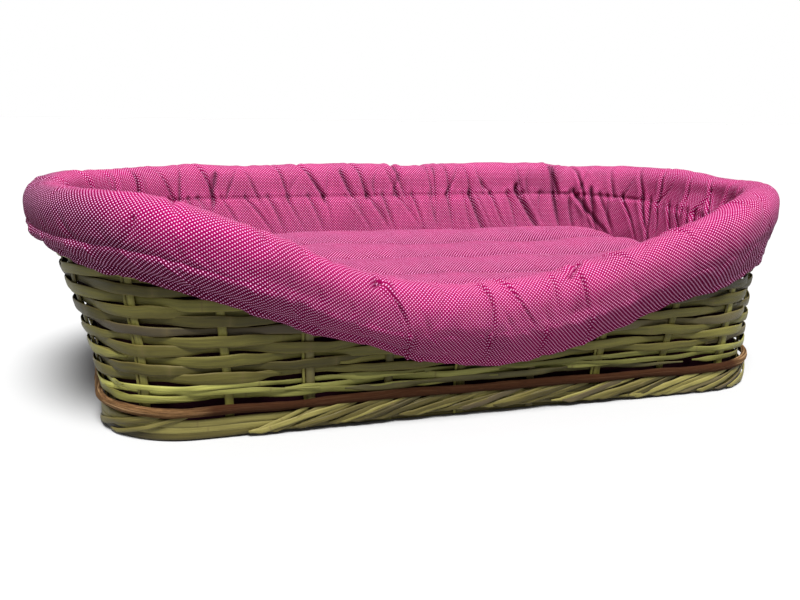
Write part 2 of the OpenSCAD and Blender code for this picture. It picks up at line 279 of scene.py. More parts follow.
def cane_material(name):
    """Vine with its bark on: orange brown, stringy, rubbed pale in places."""
    m = plain_material(name, (0.30, 0.15, 0.07), 0.9, 0.06)
    g = Graph(m.node_tree)
    along, across, tone = g.parts(g.attribute("grain", "Vector"))
    place = g.joined(g.times(along, 16.0), g.times(across, 5.0), tone)
    fibre = g.noise(place, 4.0, 8.0, 0.7)
    patch = g.noise(place, 0.9, 4.0, 0.6)
    stretch = g.noise(g.joined(g.times(along, 3.0)), 1.0, 2.0, 0.5)
    colour = g.ramp(fibre, [(0.30, (0.012, 0.006, 0.003)), (0.5, (0.070, 0.034, 0.013)),
                            (0.70, (0.27, 0.150, 0.062))])
    colour = g.blend(g.range(patch, 0.52, 0.66, 0.0, 0.6), colour, (0.36, 0.225, 0.115))
    # lengths with a high darkening value are dark, with an uneven border
    uneven = g.times(g.math("SUBTRACT", stretch, 0.5), 0.8)
    dark = g.plus(g.attribute("wear"), uneven)
    colour = g.blend(g.range(dark, 0.35, 0.65, 0.0, 0.9), colour, (0.026, 0.008, 0.003))
    g.set("Base Color", colour)
    g.set("Normal", g.bump(fibre, 0.9, 0.0016))
    return m


DOT_PITCH = 0.0035        # side of the printed lattice's cell
THREAD_PITCH = 0.00055


def cotton_material(name, pink, spot):
    """Pin-dot cotton: a staggered lattice of small round dots, thread by thread weave."""
    m = plain_material(name, pink, 0.86, 0.04)
    g = Graph(m.node_tree)
    uv = g.node("ShaderNodeUVMap", uv_map="UVMap").outputs[0]
    flat = g.vector("MULTIPLY", uv, (1 / DOT_PITCH, 1 / DOT_PITCH, 0))
    first = g.vector("SUBTRACT", g.vector("FRACTION", flat), (0.5, 0.5, 0))
    moved = g.vector("ADD", flat, (0.5, 0.5, 0))
    second = g.vector("SUBTRACT", g.vector("FRACTION", moved), (0.5, 0.5, 0))
    near = g.math("MINIMUM", g.vector("LENGTH", first), g.vector("LENGTH", second))
    # each dot's outline follows the threads it is printed on
    fine = g.noise(g.vector("MULTIPLY", uv, (1, 1, 0)), 1500.0, 2.0, 0.6)
    near = g.plus(near, g.times(g.math("SUBTRACT", fine, 0.5), 0.07))
    dot = g.range(near, 0.125, 0.172, 1.0, 0.0)
    warp, weft = (g.math("SINE", g.times(g.parts(uv)[k], 2 * math.pi / THREAD_PITCH))
                  for k in (0, 1))
    thread = g.times(warp, weft)
    worn = g.noise(uv, 23.0, 4.0, 0.6)
    deep = tuple(c * 0.78 for c in pink)
    base = g.blend(g.range(worn, 0.3, 0.7), deep, pink)
    base = g.shaded(base, g.range(thread, -1.0, 1.0, 0.90, 1.05, "LINEAR"))
    # painted shade: the ground of the print is darkened where the cloth faces down and outward,
    # where the light is weaker; the dots keep their colour
    under = g.attribute("under")
    base = g.blend(under, base, tuple(c * 0.22 for c in pink))
    colour = g.blend(dot, base, spot)
    # painted shade: folds are darkened in colour, dots and all
    fold = g.times(g.attribute("fold"), 0.9)
    colour = g.blend(fold, colour, tuple(c * 0.34 for c in pink))
    g.set("Base Color", colour)
    cloth = g.plus(g.times(thread, 0.35), g.times(fine, 0.5))
    g.set("Normal", g.bump(cloth, 0.35, 0.0002))
    return m


bamboo = bamboo_material("bamboo_skin", (0.016, 0.012, 0.002), (0.066, 0.056, 0.009),
                         (0.160, 0.146, 0.030))
bamboo_pale = bamboo_material("bamboo_pale_skin", (0.026, 0.021, 0.004), (0.092, 0.082, 0.014),
                              (0.205, 0.192, 0.042))
# a paler, greener copy for the thin bottom rows: partly their own colour, partly painted light, as
# light falls on the bottom rows
bamboo_bright = bamboo_material("bamboo_bright_skin", (0.035, 0.034, 0.006),
                                (0.105, 0.101, 0.018), (0.300, 0.295, 0.070))
bamboo_foot = bamboo_material("bamboo_foot_skin", (0.020, 0.015, 0.003), (0.078, 0.063, 0.013),
                              (0.200, 0.175, 0.048))
cane = cane_material("cane_bark")
cotton = cotton_material("pin_dot_cotton", (0.222, 0.0006, 0.060), (0.57, 0.29, 0.48))
# near-black cloth for the liner's back: painted shade, which darkens what shows through the gaps in
# the weave
painted_shade_backing = cotton_material("painted_shade_backing_cloth", (0.012, 0.002, 0.005), (0.016, 0.003, 0.007))
plain_white = plain_material("elastic_white", (0.80, 0.79, 0.76), 0.8)


# ---- building meshes ----


def make_object(name, points, faces, material, body, nodes):
    mesh = bpy.data.meshes.new(name)
    mesh.from_pydata(points.tolist(), [], faces)
    mesh.update()
    mesh.materials.append(material)
    mesh.polygons.foreach_set("use_smooth", [True] * len(mesh.polygons))
    obj = bpy.data.objects.new(name, mesh)
    bpy.context.scene.collection.objects.link(obj)
    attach(obj, body)
    if nodes:
        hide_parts(*nodes)
    return obj


def add_values(obj, name, values):
    """Stores a number for each point, or a vector, for the materials to read."""
    kind, field = ("FLOAT_VECTOR", "vector") if values.ndim == 2 else ("FLOAT", "value")
    attribute = obj.data.attributes.new(name, kind, "POINT")
    attribute.data.foreach_set(field, values.astype(np.float32).ravel())


def from_ends(n, first, last):
    """0 at both ends of n points, and 1 from the first few on to the last few."""
    return ease(np.minimum(np.arange(n) / first, np.arange(n)[::-1] / last))


def facing_out(t, out, z):
    """Points on the wall, and the level direction that faces away from it."""
    line = on_wall(t, out, z)
    return line, unit(on_wall(t, out + 0.01, z) - line)


# cross-section of a splint: round skin outside, flatter inside, both thin at the edges
SPLINT = np.array([(-0.5, -0.15), (-0.44, 0.22), (-0.24, 0.5), (0.24, 0.5), (0.44, 0.22),
                   (0.5, -0.15), (0.38, -0.5), (-0.38, -0.5)])
ROUND = np.array([(math.cos(a) / 2, math.sin(a) / 2)
                  for a in np.linspace(0, 2 * np.pi, 12, endpoint=False)])


class Splints:
    """Collects strips, each a section swept along a line, and joins them in one mesh."""

    def __init__(self):
        self.points, self.faces, self.grain, self.wear, self.count = [], [], [], [], 0

    def add(self, line, outward, width, thick, tone, section=SPLINT, closed=False, twist=0.0,
            wear=0.0):
        n, m = len(line), len(section)
        if closed:
            along = unit(np.roll(line, -1, 0) - np.roll(line, 1, 0))
        else:
            along = unit(np.gradient(line, axis=0))
        across = unit(np.cross(outward, along))
        out = np.cross(along, across)
        c, s = np.cos(twist)[..., None], np.sin(twist)[..., None]
        across, out = across * c + out * s, out * c - across * s
        width = np.broadcast_to(width, n)[:, None, None]
        thick = np.broadcast_to(thick, n)[:, None, None]
        points = (line[:, None] + across[:, None] * section[None, :, :1] * width
                  + out[:, None] * section[None, :, 1:] * thick)
        length = np.concatenate([[0], np.cumsum(np.linalg.norm(np.diff(line, axis=0), axis=1))])
        grain = np.empty((n, m, 3))
        grain[..., 0] = length[:, None] + tone * 3.1
        grain[..., 1] = section[None, :, 0] * 2 / np.abs(section[:, 0] * 2).max()
        grain[..., 2] = tone
        self.wear.append(np.repeat(np.broadcast_to(wear, n), m))
        first = self.count
        for j in range(n if closed else n - 1):
            a, b = first + j * m, first + (j + 1) % n * m
            self.faces += [(a + i, a + (i + 1) % m, b + (i + 1) % m, b + i) for i in range(m)]
        if not closed:
            self.faces.append(tuple(range(first + m - 1, first - 1, -1)))
            last = first + (n - 1) * m
            self.faces.append(tuple(range(last, last + m)))
        self.points.append(points.reshape(-1, 3))
        self.grain.append(grain.reshape(-1, 3))
        self.count += n * m

    def build(self, name, material, nodes, slot, body="basket"):
        points = np.concatenate(self.points)
        obj = make_object(name, points, self.faces, material, body, nodes)
        add_values(obj, "grain", np.concatenate(self.grain))
        add_values(obj, "wear", np.concatenate(self.wear))


def band_round(splints, out, z, width, thick, tone, section=SPLINT):
    """Adds a closed band that runs once round the wall."""
    line, outward = facing_out(np.linspace(-1, 1, 500, endpoint=False), out, z)
    splints.add(line, outward, width, thick, tone, section=section, closed=True)


# ---- the woven wall ----

OVER = 0.0028   # how far a weaver's middle stands out where it passes a stake


def weave_out(t, over):
    """Distance out along a row: on one side at a stake, crossing between stakes."""
    x = (t - stake_at(0)) * STAKES / 2
    i = np.floor(x).astype(int)
    a = np.where(over(i % STAKES), 1.0, -1.0)
    b = np.where(over((i + 1) % STAKES), 1.0, -1.0)
    return mix(a, b, ease((x - i - 0.12) / 0.76))


def wall_line(t, out, z):
    """Points on the wall, and the outward direction square to the leaning wall."""
    line = on_wall(t, out, z)
    up = unit(on_wall(t, out, z + 0.004) - on_wall(t, out, z - 0.004))
    along = unit(np.gradient(line, axis=0))
    outward = np.cross(up, along)
    level = on_wall(t, out + 0.01, z) - line
    flip = np.sign(np.sum(outward * level, 1, keepdims=True))
    return line, unit(outward * flip)


def weaver_row(k):
    """One row of weavers: a few long splints that overlap where one runs out."""
    z0 = FIRST_ROW_Z + (k - 1) * ROW_STEP
    top = z0 + 0.018
    t_all = np.linspace(-1, 1, 1200, endpoint=False)
    free = rim_z(t_all) > top
    whole = free.all()
    splints = Splints()
    r = np.random.default_rng(100 + k)
    if whole:
        start = r.uniform(-1, 1)
        spans = np.sort(r.uniform(0.28, 0.55, 4))
        r.shuffle(spans)
        edges = start + np.concatenate([[0], np.cumsum(spans / spans.sum() * 2)])
    else:
        # from the right side of the dip round the back to its left side
        right = t_all[(t_all > 0) & free].min()
        left = t_all[(t_all < 0) & free].max()
        total = 2 - right + left
        spans = r.uniform(0.8, 1.2, 3)
        edges = right + np.concatenate([[0], np.cumsum(spans / spans.sum() * total)])
    lap = 0.032
    for j in range(len(edges) - 1):
        a = edges[j] - (lap if (j or whole) else 0)
        b = edges[j + 1] + (lap if (whole or j < len(edges) - 2) else 0)
        n = int((b - a) * half_way(z0) / 0.0045)
        t = np.linspace(a, b, n)
        side = weave_out(t, lambda i: (i + k) % 2 == 0)
        seed = 1000 * k + j
        x = t * half_way(z0)
        wobble = wander(x, 0.13, 0.0019, seed) + wander(x, 0.035, 0.0009, seed + 7)
        front = (side + 1) / 2
        width = r.uniform(0.0098, 0.0124)
        width = width * (0.66 + 0.34 * front) * (1 + wander(x, 0.09, 0.10, seed + 3))
        width = width * (0.35 + 0.65 * from_ends(n, 7, 7))
        push = OVER * (1 + wander(x, 0.05, 0.12, seed + 5))
        z = z0 + wobble
        line, outward = wall_line(t, side * push + (0.0007 if j % 2 else 0), z)
        splints.add(line, outward, width, r.uniform(0.0012, 0.0017), r.uniform(0, 1),
                    twist=wander(x, 0.05, 0.10, seed + 9))
    pale = k % 3 == 0
    node = f"weaver_row_{k:02d}"
    splints.build(node + "_splints", bamboo_pale if pale else bamboo, [node],
                  "bamboo_pale" if pale else "bamboo")


def waling_row(k):
    """Thin shiny splints that go over two stakes and behind one; some ends stick out."""
    z0 = WALING_Z + (k - 1) * WALING_STEP
    splints = Splints()
    r = np.random.default_rng(300 + k)
    count = 7
    for j in range(count):
        a = -1 + j * 2 / count + 0.11 * k + r.normal(0, 0.02)
        n = 220
        t = np.linspace(a - 0.035, a + 2 / count + 0.055, n)
        side = weave_out(t, lambda i: (i + k) % 3 != 0)
        x = t * half_way(z0)
        seed = 3000 + 10 * k + j
        width = r.uniform(0.0052, 0.0082) * (0.30 + 0.70 * from_ends(n, 14, 50))
        free_end = ease((np.arange(n) - n + 14) / 14) * r.uniform(0.0, 0.0030)
        line, outward = wall_line(t, side * 0.0030 + (j % 2) * 0.0006 + free_end,
                                  z0 + wander(x, 0.08, 0.0016, seed))
        # they are lighter round the two ends of the basket and the back
        near_end = ease((np.abs(wrapped(t) - 0.02) - 0.20) / 0.12)
        splints.add(line, outward, width, 0.0012, r.uniform(0.4, 1),
                    twist=wander(x, 0.04, 0.35, seed + 1), wear=0.45 * (1 - near_end))
    node = f"waling_row_{k}"
    splints.build(node + "_splints", bamboo_bright, [node], "bamboo_pale")


def uprights():
    """The stakes, and the thin splints beside every second one."""
    mains, sides = Splints(), Splints()
    r = np.random.default_rng(41)
    for i in range(STAKES):
        t0 = stake_at(i)
        top = rim_z(t0) - 0.0015
        z = np.linspace(0.002, top, 46)
        lean = r.normal(0, 0.0012)
        x = lean * (z / top) + wander(z, 0.03, 0.0003, 500 + i)
        line, outward = facing_out(t0 + x / half_way(z), 0, z)
        width = STAKE_W * r.uniform(0.92, 1.06)
        mains.add(line, outward, width, STAKE_T, r.uniform(0.1, 0.9))
        if i % 2 == 0:
            x = x - 0.0062 + wander(z, 0.04, 0.0004, 700 + i)
            line, outward = facing_out(t0 + x / half_way(z), 0, z)
            sides.add(line, outward, 0.0030, 0.0018, r.uniform(0.1, 1))
    mains.build("stakes_split_bamboo", bamboo_pale, ["stakes_main"], "bamboo")
    sides.build("stakes_side_slivers", bamboo_pale, ["stakes_side"], "bamboo_pale")


for row in range(1, ROWS + 1):
    weaver_row(row)
for row in (1, 2, 3):
    waling_row(row)
uprights()


# ---- the foot ----


def foot_z(t, z):
    """The foot is a little arched at the front: it clears the floor near the middle."""
    arch = 0.0065 * np.exp(-((wrapped(t) + 0.01) / 0.17) ** 2)
    return arch + z * (1 - arch / 0.028)


def foot():
    """A border of flat splints laid along, with slanting wraps over them."""
    core, wraps = Splints(), Splints()
    r = np.random.default_rng(51)
    for level, z0 in enumerate((0.0054, 0.0110, 0.0172)):
        for j in range(5):
            a = -1 + 0.4 * j + 0.13 * level
            t = np.linspace(a - 0.03, a + 0.43, 200)
            x = t * half_way(0)
            z = z0 + wander(x, 0.09, 0.0009, 900 + 10 * level + j)
            out = 0.0034 + 0.0005 * (j % 2) + 0.0004 * level
            line, outward = facing_out(t, out, foot_z(t, z))
            # painted shade: the lowest splints are darkened at the front corners, where shade falls
            # under the foot
            from_front = np.abs(wrapped(t))
            corner = ease((from_front - 0.29) / 0.06) * ease((0.56 - from_front) / 0.06)
            core.add(line, outward, 0.0078, 0.0016, r.uniform(0, 1),
                     wear=1.2 * corner * (level == 0))
    count = 50
    for i in range(count):
        place = -1 + i * 2 / count
        sparse = -0.50 < place < -0.20
        for part in range(int(r.integers(0, 2) if sparse else r.integers(2, 5))):
            a = place + 0.22 * part * 2 / count + r.normal(0, 0.004)
            f = np.linspace(0, 1, 26)
            run = r.uniform(0.060, 0.098)
            t = a + (f - 0.5) * run
            z = mix(0.0008, 0.0262, f) + wander(f, 0.5, 0.0007, 60 * i + part)
            out = 0.0058 + 0.0016 * np.sin(np.pi * f) + 0.0005 * part
            line, outward = facing_out(t, out, foot_z(t, np.clip(z, 0.0040, 0.027)))
            width = r.uniform(0.0032, 0.0066) * (0.45 + 0.55 * from_ends(26, 3, 3))
            wraps.add(line, outward, width, 0.0011, r.uniform(0, 1),
                      twist=wander(f, 0.3, 0.25, 90 * i + part))
    core.build("foot_border_core", bamboo_foot, ["foot_border_outer"], "bamboo_foot")
    wraps.build("foot_border_wraps", bamboo_foot, [], "bamboo_foot")
    inner = Splints()
    t = np.linspace(-1, 1, 500, endpoint=False)
    for seed, z0 in ((1, 0.0022), (2, 0.0052)):
        band_round(inner, -0.0032, z0 + wander(t, 0.12, 0.0004, seed), 0.0040, 0.0022,
                   0.3 * seed)
    inner.build("foot_border_inner_splints", bamboo_foot, ["foot_border_inner"], "bamboo_foot")


def hoop():
    """A vine with its bark on, bent round the foot; its ends overlap on the right."""
    ring = Splints()
    n = 1100
    start, end = 0.36, 2.405
    t = np.linspace(start, end, n)
    x = t * half_way(0)
    lap = np.clip((t - 2.32) / 0.08, 0, None)
    z = HOOP_Z + wander(x, 0.12, 0.0012, 77) + 0.004 * ease(lap)
    out = 0.0061 + wander(x, 0.15, 0.0006, 78) + 0.001 * ease(lap)
    line, outward = facing_out(t, out, z)
    size = 2 * HOOP_R * (1 + wander(x, 0.05, 0.09, 79) + wander(x, 0.013, 0.04, 80))
    size = size * (0.45 + 0.55 * from_ends(n, 40, 40))
    # the bark is darker along the front and lighter at the ends
    bark = 0.02 + 0.98 * ease((0.34 - np.abs(t - 2.02)) / 0.10)
    ring.add(line, outward, size, size * 0.9, 0.4, section=ROUND,
             twist=wander(x, 0.10, 0.5, 81), wear=bark)
    # the end on the right has split into fibres
    r = np.random.default_rng(82)
    for j in range(9):
        f = np.linspace(0, 1, 14)
        t_end = end - 0.012 + f * r.uniform(0.016, 0.042)
        spread = r.normal(0, 0.0022)
        fibre = on_wall(t_end, out[-1] + f * r.uniform(0, 0.0022), z[-1] + spread * (0.4 + f))
        facing = on_wall(t_end, out[-1] + 0.02, z[-1]) - fibre
        ring.add(fibre, unit(facing), 0.0016 * (1 - 0.8 * f), 0.0009, 0.1 * j)
    ring.build("foot_hoop_vine", cane, ["foot_hoop"], "cane")


def base():
    """The flat base: broad splints across, broad splints along on top, and their hoop."""
    floor_z, thick = 0.012, 0.0018
    carrier = Splints()
    band_round(carrier, -0.0038, floor_z - 0.0022, 0.0040, 0.0042, 0.5, section=ROUND)
    carrier.build("base_frame_vine", cane, ["base_frame_hoop"], "cane")
    edge = 0.0024   # the splints end this far inside the middle of the wall
    half, radius = np.array([BASE_L, BASE_W]) / 2, BASE_R - edge
    layers = (("base_cross_splints", 17, 0.026, floor_z + thick / 2, bamboo, "bamboo"),
              ("base_long_splints", 9, 0.024, floor_z + 1.5 * thick + 0.0002, bamboo_pale,
               "bamboo_pale"))
    for axis, (name, count, width, height, material, slot) in enumerate(layers):
        splints = Splints()
        for i, at in enumerate(np.linspace(-1, 1, count) * (half[axis] - width)):
            # a splint near the side ends where it meets the rounded corner
            over = max(0.0, abs(at) + width / 2 - (half[axis] - edge - radius))
            run = half[1 - axis] - edge - radius + math.sqrt(max(0.0, radius ** 2 - over ** 2))
            line = np.full((60, 3), height)
            line[:, axis] = at
            line[:, 1 - axis] = np.linspace(-run, run, 60)
            splints.add(line, np.array([0.0, 0.0, 1.0]), width * 0.97, thick * 0.96,
                        (0.37 * i) % 1)
        splints.build(name + "_split_bamboo", material, [name], slot)


foot()
hoop()
base()


# ---- the rim, under the liner ----


def rim():
    """Two hoops that hold the stakes between them, and a binding between every two stakes."""
    t = np.linspace(-1, 1, 500, endpoint=False)
    for name, out, tone in (("rim_outer_hoop", 0.0031, 0.5), ("rim_inner_hoop", -0.0031, 0.7)):
        band = Splints()
        band_round(band, out, rim_z(t) - RIM_BAND / 2, RIM_BAND, 0.003, tone)
        band.build(name + "_splint", bamboo_pale, [name], "bamboo_pale")
    wraps = Splints()
    # once round a square with cut corners
    angle = np.linspace(0, 2 * np.pi, 28, endpoint=False)
    across, upward = (np.clip(1.5 * wave(angle), -1, 1) for wave in (np.cos, np.sin))
    for i in range(STAKES):
        t0 = stake_at(i + 0.5)
        centre = rim_z(t0) - RIM_BAND / 2
        line = on_wall(t0, across * 0.0056, centre + upward * (RIM_BAND / 2 + 0.0016))
        middle = on_wall(t0, 0, centre)
        wraps.add(line, unit(line - middle), 0.0048, 0.0011, 0.1 + 0.03 * i, closed=True)
    wraps.build("rim_lashing_wraps", cane, ["rim_lashing"], "cane")


rim()


# ---- cloth shapes ----


def noise(x, y, seed, period=0):
    """Smooth noise from -1 to 1. It repeats along x after a whole number of cells."""
    table = np.random.default_rng(seed).uniform(-1, 1, (997, 61))
    xi, yi = np.floor(x).astype(int), np.floor(y).astype(int)
    fx, fy = x - xi, y - yi
    fx, fy = fx * fx * (3 - 2 * fx), fy * fy * (3 - 2 * fy)

    def at(i, j):
        return table[(i % period if period else i) % 997, j % 61]

    return mix(mix(at(xi, yi), at(xi + 1, yi), fx), mix(at(xi, yi + 1), at(xi + 1, yi + 1), fx), fy)


def crease(n, sharp):
    """1 along the lines where noise changes sign, falling away on both sides."""
    return np.clip(1 - np.abs(n) * sharp, 0, 1) ** 1.6


def cells(length):
    """How many noise cells of about this length go round the basket."""
    return int(round(2 * half_way(RIM_H) / length))


def round_noise(t, cell, y, seed, lean=0.0):
    n = cells(cell)
    return noise((t + 1) / 2 * n + lean, y, seed, n)


def smooth_path(knots, count):
    """Rounds a line of knots, each an array of (out, height of the wall, height)."""
    knots = np.stack(np.broadcast_arrays(*knots))
    n = len(knots) - 1
    u = np.linspace(0, n, count)
    i = np.minimum(u.astype(int), n - 1)
    f = (u - i).reshape(-1, *[1] * (knots.ndim - 1))
    a, b = knots[np.maximum(i - 1, 0)], knots[i]
    c, d = knots[i + 1], knots[np.minimum(i + 2, n)]
    return 0.5 * (2 * b + (c - a) * f + (2 * a - 5 * b + 4 * c - d) * f ** 2
                  + (3 * b - a - 3 * c + d) * f ** 3)


def even_path(knots, count, fine=400):
    """The rounded line of knots, with points at even steps along it."""
    path = smooth_path(knots, fine)
    step = np.linalg.norm(np.diff(path[..., [0, 2]], axis=0), axis=-1)
    far = np.concatenate([np.zeros((1, *step.shape[1:])), np.cumsum(step, 0)])
    result = np.empty((count, *path.shape[1:]))
    for k in range(path.shape[1]):
        place = np.linspace(0, far[-1, k], count)
        for axis in range(3):
            result[:, k, axis] = np.interp(place, far[:, k], path[:, k, axis])
    return result, np.linspace(0, 1, count)[:, None] * far[-1]


def knot(out, ref, z):
    return np.stack(np.broadcast_arrays(out, ref, z), -1)


def grid_faces(rows, columns, closed):
    faces = []
    for j in range(rows - 1):
        for i in range(columns if closed else columns - 1):
            a, b = j * columns + i, j * columns + (i + 1) % columns
            faces.append((a, b, b + columns, a + columns))
    return faces


def normals_of(points):
    """Unit normals of a grid that is closed along its second axis."""
    round_way = np.roll(points, -1, 1) - np.roll(points, 1, 1)
    down = np.gradient(points, axis=0)
    return unit(np.cross(round_way, down))


def cloth_object(name, points, uv, body, nodes, material=None, fold=None, under=None,
                 centre_row=None):
    """A grid of points as cloth. uv has one column more, for the closing face. A row that
    is a small ring round a centre can be closed with triangles to that centre."""
    rows, columns = points.shape[:2]
    faces = grid_faces(rows, columns, True)
    j, i = np.divmod(np.arange((rows - 1) * columns), columns)
    corners = np.stack([uv[j, i], uv[j, i + 1], uv[j + 1, i + 1], uv[j + 1, i]], 1)
    corners = corners.reshape(-1, 2)
    points = points.reshape(-1, 3)
    if centre_row is not None:
        first, middle = centre_row * columns, len(points)
        points = np.concatenate([points, points[first:first + columns].mean(0)[None]])
        for k in range(columns):
            a, b = first + k, first + (k + 1) % columns
            faces.append((middle, b, a) if centre_row == 0 else (a, b, middle))
        a, b = uv[centre_row, :-1], uv[centre_row, 1:]
        order = [0 * a, b, a] if centre_row == 0 else [a, b, 0 * a]
        corners = np.concatenate([corners, np.stack(order, 1).reshape(-1, 2)])
    obj = make_object(name, points, faces, material or cotton, body, nodes)
    layer = obj.data.uv_layers.new(name="UVMap")
    layer.data.foreach_set("uv", corners.reshape(-1).astype(np.float32))
    for label, values in (("fold", fold), ("under", under)):
        if values is not None:
            flat = np.clip(values, 0, 1).ravel()
            add_values(obj, label, np.append(flat, flat[:len(points) - len(flat)]))
    return obj


COLUMNS = 1980
station = np.linspace(-1, 1, COLUMNS, endpoint=False)
ROUND_LENGTH = round(2 * half_way(RIM_H) / DOT_PITCH) * DOT_PITCH


def cloth_uv(way):
    """uv in metres: along the basket, and down the cloth."""
    u = np.linspace(0, ROUND_LENGTH, way.shape[1] + 1)
    v = np.concatenate([way, way[:, :1]], 1)
    return np.stack([np.broadcast_to(u, v.shape), v], -1)


SEAM_IN = 0.023      # inner seam, below the rim
SEAM_ROW = 57        # the row of the panel's points that lies on it


def outer_seam(t):
    """How far below the rim the outer seam runs; it is drawn up round the left end."""
    return 0.026 - 0.009 * np.exp(-((wrapped(t) + 0.52) / 0.13) ** 2)


def apart(s, place):
    """Distance along the rim, the short way round."""
    return np.abs((s - place + ROUND_LENGTH / 2) % ROUND_LENGTH - ROUND_LENGTH / 2)


def crease_lines(s, way, lines):
    """Depth of a set of folds. Each line is (start along the rim, start down the cloth,
    length down the cloth, lean, bow, depth, half width)."""
    total = np.zeros(np.broadcast(s, way).shape)
    for s0, v0, run, lean, bow, depth, wide in lines:
        reach = abs(lean * run) + abs(bow) + 8 * wide
        columns = np.flatnonzero(apart(s, s0) < reach)
        f = (way[:, columns] - v0) / run
        on = (f < 1) * ease(f / 0.15 + 1)
        f = np.clip(f, 0, 1)
        d = apart(s[columns], s0 + lean * run * f + bow * np.sin(np.pi * f))
        # a valley with a low swell on each side
        fold = np.exp(-d / wide) - 0.32 * np.exp(-((d - 3.2 * wide) / (1.7 * wide)) ** 2)
        total[:, columns] += fold * on * (1 - f) ** 0.7 * depth
    return total


def gathers(seed, place, spacing, length, lean, depth, half_width, side=1):
    """Short folds that run from a seam, at uneven steps all round."""
    r = np.random.default_rng(seed)
    lines = []
    s = r.uniform(0, spacing)
    while s < ROUND_LENGTH - 0.3 * spacing:
        size = r.uniform(0.45, 1.0) ** 1.3
        lines.append((s, place, side * length * (0.5 + size), lean * r.uniform(0.1, 1.6),
                      r.normal(0, 0.003), depth * (0.45 + 0.75 * size),
                      half_width * r.uniform(0.8, 1.5)))
        s += spacing * r.uniform(0.55, 1.5)
    return lines


def along_rim(t):
    """Length round the rim, in the same sense as the cloth's u."""
    return (wrapped(t) + 1) / 2 * ROUND_LENGTH


# The main folds, each as (station, start down the cloth, length down the cloth, where a
# minus sign runs up it, lean, bow, depth, half width). The roll's, where it dips in front:
DIP_FOLDS = [
    (-0.113, 0.0500, -0.060, -0.53, 0.007, 0.0042, 0.0013),
    (-0.010, 0.0560, -0.070, -0.10, 0.005, 0.0040, 0.0012),
    (0.006, 0.0740, -0.086, -0.60, -0.006, 0.0042, 0.0011),
    (0.088, 0.0420, -0.050, -0.30, -0.002, 0.0034, 0.0012),
    (-0.016, 0.0860, -0.018, 0.50, 0.000, 0.0060, 0.0034),
    (-0.111, 0.0480, -0.014, 0.60, 0.000, 0.0050, 0.0030),
    (0.094, 0.0640, -0.022, 0.90, 0.000, 0.0056, 0.0030),
    (0.060, 0.0500, -0.040, -0.20, -0.002, 0.0026, 0.0016),
    (0.118, 0.0800, -0.050, -0.45, 0.004, 0.0036, 0.0016),
    (-0.176, 0.0970, -0.040, 0.35, 0.004, 0.0040, 0.0014),
    (0.190, 0.0700, -0.045, -0.25, 0.003, 0.0030, 0.0014),
    (0.260, 0.0900, -0.050, -0.20, 0.004, 0.0032, 0.0015),
    (-0.300, 0.0300, -0.028, 0.45, 0.003, 0.0026, 0.0020),
]
HEM_FOLDS = 4       # the first of these run on over the hem
# and the large ones of the inner wall at the back:
BACK_FOLDS = [
    (0.748, 0.0730, 0.105, -0.19, 0.004, 0.0074, 0.0036),
    (0.803, 0.1090, 0.080, -0.66, 0.003, 0.0074, 0.0032),
    (0.714, 0.1120, 0.060, -1.10, 0.003, 0.0056, 0.0030),
    (0.688, 0.1100, 0.070, -0.30, 0.002, 0.0050, 0.0026),
    (0.872, 0.1150, 0.070, -0.46, 0.003, 0.0056, 0.0028),
    (0.976, 0.0600, 0.075, -0.29, 0.003, 0.0050, 0.0024),
    (0.921, 0.0740, 0.080, 0.03, -0.002, 0.0040, 0.0022),
    (-0.797, 0.0860, 0.065, 0.10, 0.003, 0.0050, 0.0026),
    (-0.954, 0.0830, 0.060, -0.52, 0.003, 0.0050, 0.0026),
]


def thin_at_ends(t):
    """The roll stands out less and is flatter where it bends tightly round the two ends."""
    right_end = np.exp(-((t - 0.46) / 0.13) ** 2)
    left_end = np.exp(-((t + 0.50) / 0.10) ** 2)
    return 1 - 0.26 * right_end - 0.28 * left_end, 1 - 0.42 * right_end - 0.20 * left_end


def hangs_smooth(t):
    """1 along the front, where the panel runs over its outer seam without a ridge."""
    return ease((t + 0.33) / 0.16) * ease((0.44 - t) / 0.10)


def under_shade(t, z):
    """How much painted shade deepens the print's ground, by how far the cloth hangs below the rim.
    """
    return (1.0 - 0.50 * dip(t)) * ease((rim_z(t) - z + 0.030) / 0.075)


def surface(t, knots, count):
    """Points of a cloth whose section is a rounded line of knots, and lengths down it."""
    path, way = even_path(knots, count)
    return beside(t[None], path[..., 0], path[..., 1], path[..., 2]), way


def liner_section(t):
    """The padded panel's points before its folds, lengths down it, and its inner seam's."""
    R, low = rim_z(t), LINER_LOW
    thin, flat = thin_at_ends(t)
    smooth = hangs_smooth(t)
    drop = outer_seam(t)

    def by_rim(out, up):
        return knot(out, R, R + up)

    def inside(out, z):
        return knot(out, z, z)

    roll, roll_way = surface(t, [
        by_rim(mix(0.0203, 0.0213, smooth) * thin, -drop),
        by_rim(mix(0.0224, 0.0227, smooth) * thin, -0.8 * drop),
        by_rim(0.0243 * thin, -0.3 * drop), by_rim(0.0238 * thin, 0.003 * flat),
        by_rim(0.0190 * thin, 0.0135 * flat), by_rim(0.0090, 0.0198 * flat),
        by_rim(-0.0045, 0.0202 * flat), by_rim(-0.0155, 0.0150 * flat),
        by_rim(-0.0208, 0.004 * flat), by_rim(-0.0228, -0.010),
        inside(-0.0224, R - SEAM_IN),
    ], SEAM_ROW + 1)
    wall, wall_way = surface(t, [
        inside(-0.0224, R - SEAM_IN), inside(-0.0244, R - 0.032),
        inside(-0.0245, mix(low, R, 0.55)), inside(-0.0235, mix(low, R, 0.25)),
        inside(-0.0215, low),
    ], 52)
    way = np.concatenate([roll_way, wall_way[1:] + roll_way[-1]])
    return np.concatenate([roll, wall[1:]]), way, float(roll_way[-1].mean())


